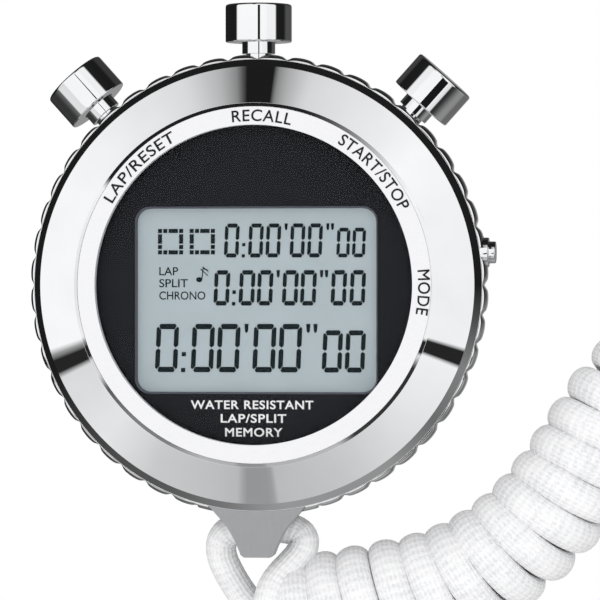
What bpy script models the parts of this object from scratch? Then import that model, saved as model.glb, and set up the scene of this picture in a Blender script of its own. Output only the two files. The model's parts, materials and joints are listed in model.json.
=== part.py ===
"""Digital stopwatch in a plated metal case, with three push buttons, a side pusher and a neck cord.

The watch lies on its back: +Z is the way its face looks, +Y points to the centre button and +X to the
side pusher. The origin is the middle of the back cover's flat outer face. Sizes are in millimetres, and
they become metres where a mesh, a curve or a place is made.
"""
import math

import bmesh
import bpy
from mathutils import Matrix, Vector

MM = 0.001

# Case and rim
RIM_RADIUS = 32.5  # at the crests of the scallops
SCALLOPS = 48
SCALLOP_DEPTH = 0.8
RIM_FRONT = 15.3
RIM_BACK = 11.9
CAVITY_RADIUS = 26.0
MODULE_LEDGE = 9.85  # the board sits on this step of the case
CASE_BACK = 0.5
COVER_RADIUS = 26.95
COVER_THICKNESS = 1.3
SEAL_STEP_RADIUS = 24.5

# Face
BEZEL_RADIUS = 30.8
BEZEL_EDGE = 15.8
BEZEL_TOP = 18.0
LABEL_RADIUS = 25.25
DIAL_RADIUS = 22.45
FACE_TOP = 19.4
WINDOW = (34.3, 26.5)
WINDOW_CORNER = 1.75
WINDOW_Y = -2.15
LCD_FRONT = (35.8, 30.4)
LCD_REAR = (35.8, 27.0)
LCD_TOP = 16.1

# Buttons, measured along each button's own axis from the middle of the case
BUTTON_HEIGHT = 12.9
BUTTON_ANGLES = {"left": 132.0, "centre": 90.0, "right": 48.0}
BUTTON_TRAVEL = 1.5
CAP_RADIUS = 4.72
CAP_START = 34.5
CAP_END = 40.0
TUBE_RADIUS = 2.35
TUBE_SHANK = 1.75
TUBE_END = 36.85
TUBE_SHOULDER = 31.3
PIN_RADIUS = 0.75
WALL_FACE = 26.95  # inner face of the tubes' shanks
PIN_END = 24.6
MODE_Y = 4.6
MODE_HEAD = 1.55
MODE_COLLAR = 2.1
MODE_END = 33.85
MODE_COLLAR_END = 32.85

# Lug and cord
LUG_OUTLINE = ((7.75, -30.4), (6.05, -32.3), (4.45, -34.1), (3.35, -35.9), (2.45, -37.9), (2.1, -38.65))
LUG_Z = (5.0, 14.9)
LUG_HOLE = (-34.7, 8.6)
LUG_HOLE_RADIUS = 2.6
CORD_DIAMETER = 4.4
CORD_ROUTE = (
    (1.2, -46.9, 12.6), (1.35, -44.6, 12.2), (2.0, -42.5, 11.2), (3.5, -40.6, 10.2), (5.2, -38.8, 9.5),
    (6.2, -36.9, 9.0), (5.3, -35.2, 8.7), (2.8, -34.7, 8.6), (0.0, -34.7, 8.6), (-2.8, -34.7, 8.6),
    (-5.2, -35.3, 8.5), (-6.2, -37.0, 8.2), (-6.0, -39.2, 7.8), (-5.0, -41.4, 7.4), (-3.8, -43.5, 7.1),
    (-2.2, -45.5, 7.1), (0.6, -47.0, 7.3), (5.9, -47.0, 7.6),
)
ROLL_AXIS = (
    (6.4, -46.9, 7.7), (9.0, -46.9, 7.8), (11.5, -46.1, 8.2), (15.2, -44.8, 8.65), (21.4, -44.1, 8.65),
    (28.2, -42.0, 8.65), (37.2, -36.2, 8.65), (43.3, -29.2, 8.65), (48.2, -21.8, 8.65), (52.4, -15.0, 8.65),
    (58.4, -9.6, 8.65), (65.5, -6.6, 8.65), (72.0, -5.6, 8.65),
)
ROLL_RADIUS = 8.65
ROLL_NEAR_RADIUS = 6.2
ROLL_TAPER = 3  # how many points of the axis the roll takes to reach its full radius

RING_STEPS = 48
SMALL_STEPS = 16
GAP = 0.05

for existing in list(bpy.data.objects):
    bpy.data.objects.remove(existing, do_unlink=True)
PARTS = bpy.data.collections.new("stopwatch")
CUTTERS = bpy.data.collections.new("cutters")
bpy.context.scene.collection.children.link(PARTS)
bpy.context.scene.collection.children.link(CUTTERS)
CUTTERS.hide_render = True


def material(name, color, metallic, roughness, alpha=1.0):
    """A Principled material with the sub-part's colour and finish."""
    made = bpy.data.materials.new(name)
    made.use_nodes = True
    shader = made.node_tree.nodes["Principled BSDF"]
    shader.inputs["Base Color"].default_value = (*color, 1.0)
    shader.inputs["Metallic"].default_value = metallic
    shader.inputs["Roughness"].default_value = roughness
    shader.inputs["Alpha"].default_value = alpha
    return made


CHROME = material("chrome_plate", (0.83, 0.84, 0.85), 1.0, 0.08)
SATIN = material("satin_steel", (0.72, 0.73, 0.74), 1.0, 0.35)
LABEL = material("label_aluminium", (0.86, 0.87, 0.89), 0.6, 0.4)
GLASS = material("window_glass", (0.9, 0.93, 0.95), 0.0, 0.03, 0.3)
BLACK = material("black_lacquer", (0.015, 0.016, 0.02), 0.0, 0.3)
DISPLAY = material("display_glass", (0.42, 0.49, 0.53), 0.0, 0.25)
RUBBER = material("black_rubber", (0.03, 0.03, 0.03), 0.0, 0.8)
MOULDING = material("moulded_plastic", (0.2, 0.2, 0.21), 0.0, 0.6)
BOARD = material("circuit_board_green", (0.02, 0.16, 0.07), 0.0, 0.45)
BRASS = material("brass", (0.75, 0.55, 0.22), 1.0, 0.3)
CORD = material("white_cord", (0.86, 0.86, 0.87), 0.0, 0.9)


def place(obj, collection=PARTS, surface=None, parent=None):
    """Links an object, gives it its material and hangs it on its axis empty."""
    collection.objects.link(obj)
    if surface:
        obj.data.materials.append(surface)
    if parent:
        obj.parent = parent
    if collection is CUTTERS:
        obj.hide_render = True
        obj.display_type = "WIRE"
    return obj


def mesh_object(name, body, collection=PARTS, surface=None, parent=None):
    """An object from a bmesh in millimetres."""
    bmesh.ops.scale(body, vec=(MM, MM, MM), verts=body.verts)
    mesh = bpy.data.meshes.new(name)
    body.to_mesh(mesh)
    body.free()
    return place(bpy.data.objects.new(name, mesh), collection, surface, parent)


def turned(name, profile, surface=None, steps=RING_STEPS, parent=None, collection=PARTS, at=None):
    """A closed profile of (radius, height) points, turned about the local Z axis, top to bottom outside."""
    mesh = bpy.data.meshes.new(name)
    points = [(r * MM, 0.0, z * MM) for r, z in profile]
    count = len(points)
    solid_on_axis = profile[0][0] == 0 and profile[-1][0] == 0
    edges = [(i, i + 1) for i in range(count - 1)] + ([] if solid_on_axis else [(count - 1, 0)])
    mesh.from_pydata(points, edges, [])
    obj = place(bpy.data.objects.new(name, mesh), collection, surface, parent)
    if at:
        obj.location = Vector(at) * MM
    screw = obj.modifiers.new("turn", "SCREW")
    screw.steps = screw.render_steps = steps
    screw.use_merge_vertices = True
    screw.merge_threshold = 1e-6
    screw.use_smooth_shade = False
    return obj


def ring(name, inner, outer, low, high, surface, steps=RING_STEPS, parent=None):
    """A plain ring of square section."""
    profile = [(outer, high), (outer, low), (inner, low), (inner, high)]
    return turned(name, profile, surface, steps, parent)


def disc(name, radius, low, high, surface=None, steps=RING_STEPS, parent=None, collection=PARTS, at=None):
    """A plain cylinder on the local Z axis."""
    profile = [(0, high), (radius, high), (radius, low), (0, low)]
    return turned(name, profile, surface, steps, parent, collection, at)


def box(name, size, centre, surface=None, collection=PARTS, parent=None, turn=0.0):
    """A rectangular block, turned about Z through its own middle."""
    body = bmesh.new()
    bmesh.ops.create_cube(body, size=1.0)
    bmesh.ops.scale(body, vec=size, verts=body.verts)
    bmesh.ops.rotate(body, matrix=Matrix.Rotation(math.radians(turn), 3, "Z"), verts=body.verts)
    bmesh.ops.translate(body, vec=centre, verts=body.verts)
    return mesh_object(name, body, collection, surface, parent)


def combine(obj, others, operation="DIFFERENCE"):
    """Cuts the others from an object, or joins them to it, with exact Booleans."""
    for other in others:
        boolean = obj.modifiers.new(other.name, "BOOLEAN")
        boolean.operation = operation
        boolean.solver = "EXACT"
        boolean.object = other


def axis_empty(name, angle, height, across=0.0):
    """An empty whose local Z runs outwards from the case along a button's axis."""
    empty = bpy.data.objects.new(name, None)
    PARTS.objects.link(empty)
    outwards = Vector((math.cos(math.radians(angle)), math.sin(math.radians(angle)), 0.0))
    empty.rotation_euler = outwards.to_track_quat("Z", "Y").to_euler()
    empty.location = Vector((0.0, across, height)) * MM
    return empty


def extruded(name, outline, low, high, surface=None, collection=PARTS):
    """A flat outline of (x, y) points as a solid between two heights."""
    body = bmesh.new()
    floor = body.faces.new([body.verts.new((x, y, low)) for x, y in outline])
    bmesh.ops.recalc_face_normals(body, faces=[floor])
    raised = bmesh.ops.extrude_face_region(body, geom=[floor])
    up = [v for v in raised["geom"] if isinstance(v, bmesh.types.BMVert)]
    bmesh.ops.translate(body, vec=(0, 0, high - low), verts=up)
    bmesh.ops.recalc_face_normals(body, faces=body.faces)
    return mesh_object(name, body, collection, surface)


def rounded_rectangle(size, corner, centre_y, arc_points=4):
    """The outline of a rectangle with round corners."""
    half = (size[0] / 2 - corner, size[1] / 2 - corner)
    outline = []
    for quarter, (sx, sy) in enumerate(((1, 1), (-1, 1), (-1, -1), (1, -1))):
        for step in range(arc_points + 1):
            angle = math.radians(90 * (quarter + step / arc_points))
            outline.append(
                (sx * half[0] + corner * math.cos(angle), centre_y + sy * half[1] + corner * math.sin(angle))
            )
    return outline


def smooth_line(route, spacing):
    """Points at an even spacing along the smooth curve through a route's own points."""
    before = 2 * Vector(route[0]) - Vector(route[1])
    beyond = 2 * Vector(route[-1]) - Vector(route[-2])
    ends = [before, *map(Vector, route), beyond]
    dense = []
    for a, b, c, d in zip(ends, ends[1:], ends[2:], ends[3:]):
        for step in range(20):
            t = step / 20
            square = (2 * a - 5 * b + 4 * c - d) * t**2
            cube = (3 * b - a - 3 * c + d) * t**3
            dense.append(0.5 * (2 * b + (c - a) * t + square + cube))
    dense.append(Vector(route[-1]))
    lengths = [0.0]
    for a, b in zip(dense, dense[1:]):
        lengths.append(lengths[-1] + (b - a).length)
    count = max(2, round(lengths[-1] / spacing))
    line, at = [], 0
    for step in range(count + 1):
        wanted = lengths[-1] * step / count
        while at < len(dense) - 2 and lengths[at + 1] < wanted:
            at += 1
        share = (wanted - lengths[at]) / (lengths[at + 1] - lengths[at])
        line.append(dense[at].lerp(dense[at + 1], min(share, 1.0)))
    return line


def tube(name, line, radius, surface, resolution=2, parent=None, thickness=None):
    """A round bar along a line of points, with closed ends. thickness scales the radius point by point."""
    curve = bpy.data.curves.new(name, "CURVE")
    curve.dimensions = "3D"
    curve.bevel_depth = radius * MM
    curve.bevel_resolution = resolution
    curve.use_fill_caps = True
    spline = curve.splines.new("POLY")
    spline.points.add(len(line) - 1)
    for index, point in enumerate(line):
        spline.points[index].co = (*(Vector(point) * MM), 1.0)
        if thickness:
            spline.points[index].radius = thickness[index]
    return place(bpy.data.objects.new(name, curve), PARTS, surface, parent)


def coil_spring(name, mean_radius, wire, low, high, turns, surface, parent=None, centre=(0.0, 0.0)):
    """A helical spring on the local Z axis."""
    per_turn = 8
    total = turns * per_turn
    line = []
    for step in range(total + 1):
        angle = 2 * math.pi * step / per_turn
        x = centre[0] + mean_radius * math.cos(angle)
        y = centre[1] + mean_radius * math.sin(angle)
        line.append((x, y, low + wire + (high - low - 2 * wire) * step / total))
    return tube(name, line, wire, surface, 1, parent)


def case_body():
    """The scalloped casting with its lug and the holes for pushers, screws and cord."""
    crest = RIM_RADIUS
    case = turned("case_body", [
        (31.6, RIM_FRONT), (crest, RIM_FRONT - 0.6), (crest, RIM_BACK + 0.5), (31.5, RIM_BACK),
        (30.9, 7.0), (29.6, 2.4), (28.2, CASE_BACK), (COVER_RADIUS + 0.1, CASE_BACK),
        (COVER_RADIUS + 0.1, COVER_THICKNESS + GAP), (SEAL_STEP_RADIUS, COVER_THICKNESS + GAP),
        (SEAL_STEP_RADIUS, COVER_THICKNESS + 0.55), (23.6, COVER_THICKNESS + 0.55), (23.6, 2.8), (24.6, 3.4),
        (24.6, MODULE_LEDGE), (CAVITY_RADIUS, MODULE_LEDGE), (CAVITY_RADIUS, RIM_FRONT), (30.6, RIM_FRONT),
        (30.8, RIM_FRONT - 0.3), (31.3, RIM_FRONT - 0.3),
    ], CHROME)
    mirrored = [(-x, y) for x, y in reversed(LUG_OUTLINE)]
    lug = extruded("lug_block", [*LUG_OUTLINE, *mirrored], *LUG_Z, collection=CUTTERS)
    combine(case, [lug], "UNION")
    flutes = bmesh.new()
    flute = 1.15
    reach = crest + flute - SCALLOP_DEPTH
    for index in range(SCALLOPS):
        angle = 2 * math.pi * index / SCALLOPS
        x, y = reach * math.cos(angle), reach * math.sin(angle)
        if y < 0 and abs(x) < LUG_OUTLINE[0][0] + flute:
            continue
        place_and_turn = Matrix.Translation((x, y, RIM_FRONT - 1.5)) @ Matrix.Rotation(angle, 4, "Z")
        bmesh.ops.create_cone(flutes, cap_ends=True, segments=6, radius1=flute, radius2=flute, depth=9.0,
                              matrix=place_and_turn)
    combine(case, [mesh_object("rim_flutes", flutes, CUTTERS)])
    y, z = LUG_HOLE
    hole = disc("lug_hole", LUG_HOLE_RADIUS, -12, 12, steps=SMALL_STEPS, collection=CUTTERS, at=(0, y, z))
    hole.rotation_euler = (0, math.pi / 2, 0)
    cuts = [hole]
    for side, angle in BUTTON_ANGLES.items():
        empty = axis_empty(f"tube_seat_{side}", angle, BUTTON_HEIGHT)
        cuts.append(turned(f"tube_hole_{side}", [
            (0, 34), (TUBE_RADIUS + GAP, 34), (TUBE_RADIUS + GAP, TUBE_SHOULDER - GAP),
            (TUBE_SHANK + GAP, TUBE_SHOULDER - GAP), (TUBE_SHANK + GAP, 25), (0, 25),
        ], None, SMALL_STEPS, empty, CUTTERS))
    empty = axis_empty("mode_seat", 0.0, BUTTON_HEIGHT, MODE_Y)
    cuts.append(turned("mode_hole", [
        (0, 34), (MODE_COLLAR + GAP, 34), (MODE_COLLAR + GAP, TUBE_SHOULDER - GAP),
        (TUBE_SHANK + GAP, TUBE_SHOULDER - GAP), (TUBE_SHANK + GAP, 25), (0, 25),
    ], None, SMALL_STEPS, empty, CUTTERS))
    for index, (x, y) in enumerate(screw_places(25.7)):
        name = f"screw_hole_{index + 1}"
        cuts.append(disc(name, 0.55, 1.0, 6.5, steps=8, collection=CUTTERS, at=(x, y, 0)))
    combine(case, cuts)
    return case


def screw_places(radius, count=4, first=45.0):
    """Evenly spaced places on a circle."""
    angles = [math.radians(first + 360 * index / count) for index in range(count)]
    return [(radius * math.cos(a), radius * math.sin(a)) for a in angles]


def face():
    """Bezel, label ring, window, gasket and mask."""
    seat = 17.8
    turned("bezel_ring", [
        (25.75, BEZEL_TOP), (BEZEL_RADIUS, BEZEL_EDGE), (BEZEL_RADIUS, RIM_FRONT + GAP),
        (CAVITY_RADIUS, RIM_FRONT + GAP), (CAVITY_RADIUS, 16.2), (23.3, 16.2), (23.3, 16.8), (24.4, 16.8),
        (24.4, seat - GAP), (LABEL_RADIUS + 0.1, seat - GAP), (LABEL_RADIUS + 0.1, BEZEL_TOP - 0.02),
    ], CHROME)
    turned("label_ring", [
        (DIAL_RADIUS + 0.3, FACE_TOP - 0.2), (LABEL_RADIUS, seat + 0.25), (LABEL_RADIUS, seat),
        (DIAL_RADIUS + 0.1, seat), (DIAL_RADIUS + 0.1, FACE_TOP - 0.35),
    ], LABEL)
    turned("crystal", [
        (0, FACE_TOP), (DIAL_RADIUS - 0.2, FACE_TOP), (DIAL_RADIUS, FACE_TOP - 0.2),
        (DIAL_RADIUS, seat - 0.1), (24.25, seat - 0.1), (24.25, 17.15), (0, 17.15),
    ], GLASS)
    ring("crystal_gasket", 23.4, 24.3, 16.85, 17.1, RUBBER)
    mask = disc("dial_mask", 23.25, 16.85, 17.1, BLACK)
    hole = extruded("window_hole", rounded_rectangle(WINDOW, WINDOW_CORNER, WINDOW_Y), 16, 18,
                    collection=CUTTERS)
    combine(mask, [hole])


def display_module():
    """Glasses, connector strips, carrier, board and what is on it."""
    front_low = LCD_TOP - 1.1
    rear_low = front_low - GAP - 1.1
    box("lcd_front_glass", (*LCD_FRONT, 1.1), (0, WINDOW_Y, LCD_TOP - 0.55), DISPLAY)
    box("lcd_rear_glass", (*LCD_REAR, 1.1), (0, WINDOW_Y, rear_low + 0.55), DISPLAY)
    box("lcd_reflector", (LCD_REAR[0], LCD_REAR[1], 0.2), (0, WINDOW_Y, rear_low - 0.15), LABEL)
    board_top = MODULE_LEDGE + GAP + 1.0
    strip_high = front_low - GAP
    strip_low = board_top + GAP
    strip_y = (LCD_REAR[1] + LCD_FRONT[1]) / 4
    slots = []
    for name, sign in (("upper", 1), ("lower", -1)):
        centre = (0, WINDOW_Y + sign * strip_y, (strip_high + strip_low) / 2)
        box(f"zebra_strip_{name}", (32.0, 1.3, strip_high - strip_low), centre, RUBBER)
        slots.append(box(f"strip_slot_{name}", (32.2, 1.5, 8.0), centre, None, CUTTERS))
    carrier = disc("module_frame", CAVITY_RADIUS - 0.2, board_top + GAP, LCD_TOP - 0.05, MOULDING)
    front = box("front_glass_pocket", (LCD_FRONT[0] + 0.2, LCD_FRONT[1] + 0.2, 4.0),
                (0, WINDOW_Y, front_low - GAP + 2.0), None, CUTTERS)
    rear = box("rear_glass_pocket", (LCD_REAR[0] + 0.2, LCD_REAR[1] + 0.2, 4.0),
               (0, WINDOW_Y, rear_low - 0.3 + 2.0), None, CUTTERS)
    hollow = box("chip_space", (26.0, 16.0, 3.0), (0, WINDOW_Y, board_top - 0.2), None, CUTTERS)
    notches = []
    for side, angle in BUTTON_ANGLES.items():
        way = Vector((math.cos(math.radians(angle)), math.sin(math.radians(angle)), 0))
        notches.append(box(f"notch_{side}", (8.0, 4.2, 8.0), way * 26.2 + Vector((0, 0, 13.5)), None,
                           CUTTERS, turn=angle))
    notches.append(box("notch_mode", (8.0, 4.2, 8.0), (26.2, MODE_Y, 13.5), None, CUTTERS))
    screws = screw_places(23.2, 3, 200.0)
    threads = [disc(f"module_thread_{i + 1}", 0.5, 8.5, 13.2, steps=8, collection=CUTTERS, at=(x, y, 0))
               for i, (x, y) in enumerate(screws)]
    combine(carrier, [front, rear, hollow, *slots, *notches, *threads])
    board = disc("circuit_board", CAVITY_RADIUS - 0.25, MODULE_LEDGE + GAP, board_top, BOARD)
    combine(board, threads)
    low = MODULE_LEDGE - 0.05
    for index, (x, y) in enumerate(screws):
        turned(f"module_screw_{index + 1}", [
            (0, 12.9), (0.45, 12.9), (0.45, low), (1.1, low), (1.1, low - 0.6), (0, low - 0.6),
        ], SATIN, 8, at=(x, y, 0))
    under = MODULE_LEDGE
    turned("chip_blob", [(0, under), (3.6, under), (3.2, under - 0.9), (1.8, under - 1.5), (0, under - 1.7)],
           BLACK, 12, at=(13.5, 8.5, 0))
    can = disc("quartz_can", 1.0, -3.0, 3.0, SATIN, 10, at=(14.0, -7.5, under - 1.1))
    can.rotation_euler = (math.pi / 2, 0, 0)
    for side, angle in (*BUTTON_ANGLES.items(), ("mode", None)):
        if angle is None:
            spot, turn = Vector((22.4, MODE_Y, 0)), 0.0
        else:
            spot = Vector((math.cos(math.radians(angle)), math.sin(math.radians(angle)), 0)) * 22.4
            turn = angle
        box(f"contact_blade_{side}", (0.25, 2.6, 3.0), spot + Vector((0, 0, board_top + GAP + 1.5)), BRASS,
            turn=turn)


def power_and_sound():
    """Cell, its contacts, and the buzzer on the back cover."""
    cell = (-6.0, 0.0)
    top = MODULE_LEDGE - 0.35
    box("battery_contact", (11.0, 3.0, 0.2), (cell[0], cell[1], top + 0.17), BRASS)
    disc("battery", 10.0, top - 3.2, top, SATIN, 32, at=(*cell, 0))
    low = top - 3.2 - GAP
    clip = box("battery_clip", (5.0, 22.4, 0.3), (cell[0], cell[1], low - 0.15), BRASS)
    foot = low - 0.3
    leg_size = (5.0, 0.4, MODULE_LEDGE - foot)
    leg_height = (MODULE_LEDGE + foot) / 2
    legs = [
        box(f"clip_leg_{side}", leg_size, (cell[0], y, leg_height), None, CUTTERS)
        for side, y in (("low", -11.0), ("high", 11.0))
    ]
    combine(clip, legs, "UNION")
    disc("buzzer_disc", 8.0, COVER_THICKNESS + GAP, COVER_THICKNESS + 0.5, BRASS, 32, at=(10.0, 0.0, 0))
    for index, y in enumerate((-2.5, 2.5)):
        coil_spring(f"buzzer_spring_{index + 1}", 0.9, 0.15, COVER_THICKNESS + 0.55, MODULE_LEDGE, 4, SATIN,
                    centre=(8.0, y))


def back():
    """The screwed back cover and its gasket."""
    cover = turned("back_cover", [
        (0, COVER_THICKNESS), (COVER_RADIUS, COVER_THICKNESS), (COVER_RADIUS, 0.45), (26.4, 0.0), (0, 0.0),
    ], SATIN)
    ring("back_gasket", 23.7, SEAL_STEP_RADIUS - 0.1, COVER_THICKNESS + GAP, COVER_THICKNESS + 0.5, RUBBER)
    sinks = []
    for index, (x, y) in enumerate(screw_places(25.7)):
        sinks.append(turned(f"screw_sink_{index + 1}", [
            (0, 2), (0.7, 2), (0.7, 0.55), (0.98, 0.5), (0.98, -1), (0, -1),
        ], None, 8, None, CUTTERS, (x, y, 0)))
        turned(f"back_screw_{index + 1}", [
            (0, 5.0), (0.48, 5.0), (0.48, 0.6), (0.9, 0.4), (0.9, 0.1), (0, 0.1),
        ], SATIN, 8, at=(x, y, 0))
    combine(cover, sinks)


def push_button(side, angle):
    """One top button: fixed neck tube with its seal, and the cap, pin, spring and clip that slide."""
    fixed = axis_empty(f"{side}_tube_axis", angle, BUTTON_HEIGHT)
    moving = axis_empty(f"{side}_button_axis", angle, BUTTON_HEIGHT)
    bore = 1.7
    turned(f"button_tube_{side}", [
        (bore, TUBE_END), (TUBE_RADIUS, TUBE_END), (TUBE_RADIUS, 36.2), (1.95, 36.2), (1.95, 35.6),
        (TUBE_RADIUS, 35.6), (TUBE_RADIUS, TUBE_SHOULDER), (TUBE_SHANK, TUBE_SHOULDER),
        (TUBE_SHANK, WALL_FACE), (PIN_RADIUS + 0.06, WALL_FACE), (PIN_RADIUS + 0.06, 31.6), (bore, 31.6),
    ], CHROME, SMALL_STEPS, fixed)
    ring(f"tube_seal_{side}", 2.0, 2.38, 35.65, 36.15, RUBBER, SMALL_STEPS, fixed)
    ceiling = TUBE_END + BUTTON_TRAVEL + 0.1
    turned(f"button_cap_{side}", [
        (0, CAP_END), (3.0, CAP_END - 0.05), (CAP_RADIUS - 0.35, CAP_END - 0.2), (CAP_RADIUS, CAP_END - 0.55),
        (CAP_RADIUS, CAP_START + 0.25), (CAP_RADIUS - 0.25, CAP_START), (TUBE_RADIUS + 0.08, CAP_START),
        (TUBE_RADIUS + 0.08, ceiling), (0, ceiling),
    ], CHROME, SMALL_STEPS, moving)
    groove = WALL_FACE - 0.6
    turned(f"button_pin_{side}", [
        (0, ceiling - GAP), (PIN_RADIUS, ceiling - GAP), (PIN_RADIUS, groove + 0.5), (0.5, groove + 0.5),
        (0.5, groove), (PIN_RADIUS, groove), (PIN_RADIUS, PIN_END), (0, PIN_END),
    ], SATIN, SMALL_STEPS, moving)
    ring(f"button_clip_{side}", 0.56, 1.6, groove + 0.05, groove + 0.45, SATIN, SMALL_STEPS, moving)
    coil_spring(f"button_spring_{side}", 1.25, 0.16, 31.65, ceiling - GAP, 4, SATIN, moving)


def side_pusher():
    """The small MODE pusher in its collar."""
    fixed = axis_empty("mode_bush_axis", 0.0, BUTTON_HEIGHT, MODE_Y)
    moving = axis_empty("mode_button_axis", 0.0, BUTTON_HEIGHT, MODE_Y)
    bore = MODE_HEAD + 0.07
    shank = 0.65
    floor = 30.0
    turned("mode_bush", [
        (bore, MODE_COLLAR_END), (MODE_COLLAR, MODE_COLLAR_END), (MODE_COLLAR, TUBE_SHOULDER),
        (TUBE_SHANK, TUBE_SHOULDER), (TUBE_SHANK, WALL_FACE), (shank + 0.06, WALL_FACE),
        (shank + 0.06, floor),
        (1.55, floor), (1.55, TUBE_SHOULDER), (bore, TUBE_SHOULDER),
    ], CHROME, SMALL_STEPS, fixed)
    groove = WALL_FACE - 0.6
    turned("mode_button", [
        (0, MODE_END), (MODE_HEAD - 0.15, MODE_END), (MODE_HEAD, MODE_END - 0.15), (MODE_HEAD, 32.75),
        (1.2, 32.75), (1.2, 32.3), (MODE_HEAD, 32.3), (MODE_HEAD, 32.1), (shank, 32.1), (shank, groove + 0.5),
        (0.45, groove + 0.5), (0.45, groove), (shank, groove), (shank, PIN_END - 0.7), (0, PIN_END - 0.7),
    ], CHROME, SMALL_STEPS, moving)
    ring("mode_clip", 0.5, 1.4, groove + 0.05, groove + 0.45, SATIN, SMALL_STEPS, moving)
    ring("mode_seal", 1.25, MODE_HEAD + 0.03, 32.35, 32.7, RUBBER, SMALL_STEPS, moving)
    coil_spring("mode_spring", 1.1, 0.12, floor + GAP, 32.05, 3, SATIN, moving)


def neck_cord():
    """The cord through the lug, and the roll that the rest of it is wound into."""
    loop = smooth_line(CORD_ROUTE, 0.45 * CORD_DIAMETER)
    tube("cord_loop", loop, CORD_DIAMETER / 2, CORD, 2)
    line = smooth_line(ROLL_AXIS, 4.5)
    full_from = len(line) * ROLL_TAPER / (len(ROLL_AXIS) - 1)
    near = ROLL_NEAR_RADIUS / ROLL_RADIUS
    thickness = [min(1.0, near + (1 - near) * index / full_from) for index in range(len(line))]
    tube("cord_roll", line, ROLL_RADIUS, CORD, 3, thickness=thickness)


case_body()
face()
display_module()
power_and_sound()
back()
for button_side, button_angle in BUTTON_ANGLES.items():
    push_button(button_side, button_angle)
side_pusher()
neck_cord()
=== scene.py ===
"""The looks of the digital stopwatch: fine surfaces, dial, display, braided neck cord, light and camera.

Sizes are in millimetres, in the CAD's own frame. MM turns them into metres where a mesh or place is made.
"""
import json
import math

import bmesh
import bpy
import numpy as np
from mathutils import Matrix, Vector

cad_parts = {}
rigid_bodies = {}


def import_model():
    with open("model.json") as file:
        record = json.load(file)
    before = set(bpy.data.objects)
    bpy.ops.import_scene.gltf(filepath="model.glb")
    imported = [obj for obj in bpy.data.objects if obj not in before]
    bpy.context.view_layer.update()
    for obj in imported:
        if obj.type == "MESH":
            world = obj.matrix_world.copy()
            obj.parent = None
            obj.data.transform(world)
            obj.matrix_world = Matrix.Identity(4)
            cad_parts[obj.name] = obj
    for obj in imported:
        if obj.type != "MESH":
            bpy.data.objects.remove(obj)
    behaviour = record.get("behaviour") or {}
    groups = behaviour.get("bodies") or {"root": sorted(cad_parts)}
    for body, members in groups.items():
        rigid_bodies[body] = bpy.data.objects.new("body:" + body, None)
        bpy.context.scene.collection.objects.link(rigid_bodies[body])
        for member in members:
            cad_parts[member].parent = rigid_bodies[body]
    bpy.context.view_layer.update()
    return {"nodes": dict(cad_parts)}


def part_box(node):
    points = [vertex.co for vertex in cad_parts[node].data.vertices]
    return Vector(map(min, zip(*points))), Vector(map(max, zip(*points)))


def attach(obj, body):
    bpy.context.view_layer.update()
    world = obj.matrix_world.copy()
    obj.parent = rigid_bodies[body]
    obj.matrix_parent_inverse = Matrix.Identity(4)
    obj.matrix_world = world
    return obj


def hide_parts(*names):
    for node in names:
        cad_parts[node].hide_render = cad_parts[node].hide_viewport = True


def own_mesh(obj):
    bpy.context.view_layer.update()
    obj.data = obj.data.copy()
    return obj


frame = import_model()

MM = 0.001


def millimetres(node):
    """A CAD node's lowest and highest corners, in millimetres."""
    low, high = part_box(node)
    return low / MM, high / MM


# Places read from the frame
LABEL_RADIUS = millimetres("label_ring")[1].x
FACE_TOP = millimetres("crystal")[1].z
MASK_RADIUS = millimetres("dial_mask")[1].x
MASK_LOW = millimetres("dial_mask")[0].z
MASK_TOP = millimetres("dial_mask")[1].z
LCD_TOP = millimetres("lcd_front_glass")[1].z
COVER_RADIUS = millimetres("back_cover")[1].x
COVER_THICKNESS = millimetres("back_cover")[1].z
CAP_END = millimetres("button_cap_centre")[1].y
CAP_START = millimetres("button_cap_centre")[0].y
CAP_RADIUS = millimetres("button_cap_centre")[1].x
BUTTON_HEIGHT = sum(corner.z for corner in millimetres("button_cap_centre")) / 2
MODE_Y = sum(corner.y for corner in millimetres("mode_button")) / 2
MODE_END = millimetres("mode_button")[1].x

# Case
RIM_RADIUS = 32.75
RIM_FRONT = 14.98
RIM_BACK = 11.9
RIM_INNER = 32.08
RIM_FILLET = 1.2  # how deep the rim's rounded front edge is
SCALLOPS = 48
LOBE_ROUND = 0.30  # how far a lobe's flanks fall away from its middle
HOLLOW_DEPTH = 0.30  # how much deeper the hollows between the lobes are
HOLLOW_SHARE = 0.42  # their half width, as a share of half a lobe
CONE_OUTER = 31.02  # where the polished cone ends and the dark groove's slope begins
DIAL_RADIUS = 22.45
WINDOW = (34.6, 26.5)
WINDOW_CORNER = 2.1
WINDOW_X = 0.16
MARKS_X = 0.31  # how far the display's marks sit right of the case's middle
WINDOW_Y = -2.15
NECK_SHANK = 1.78  # radius of the buttons' necks inside the case
BUTTON_ANGLES = {"left": 132.0, "centre": 90.0, "right": 48.0}
LUG_OUTLINE = ((7.75, -30.4), (6.05, -32.3), (4.45, -34.1), (3.35, -35.9), (2.45, -37.9), (2.1, -38.65))
LUG_Z = (5.0, 15.0)
LUG_PLATE = 12.1  # underside of the lug's wide front plate
LUG_WAIST = 0.8  # how far the lug narrows below that plate, on each side
LUG_HOLE = (-34.7, 8.6)
LUG_HOLE_RADIUS = 2.6

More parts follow.
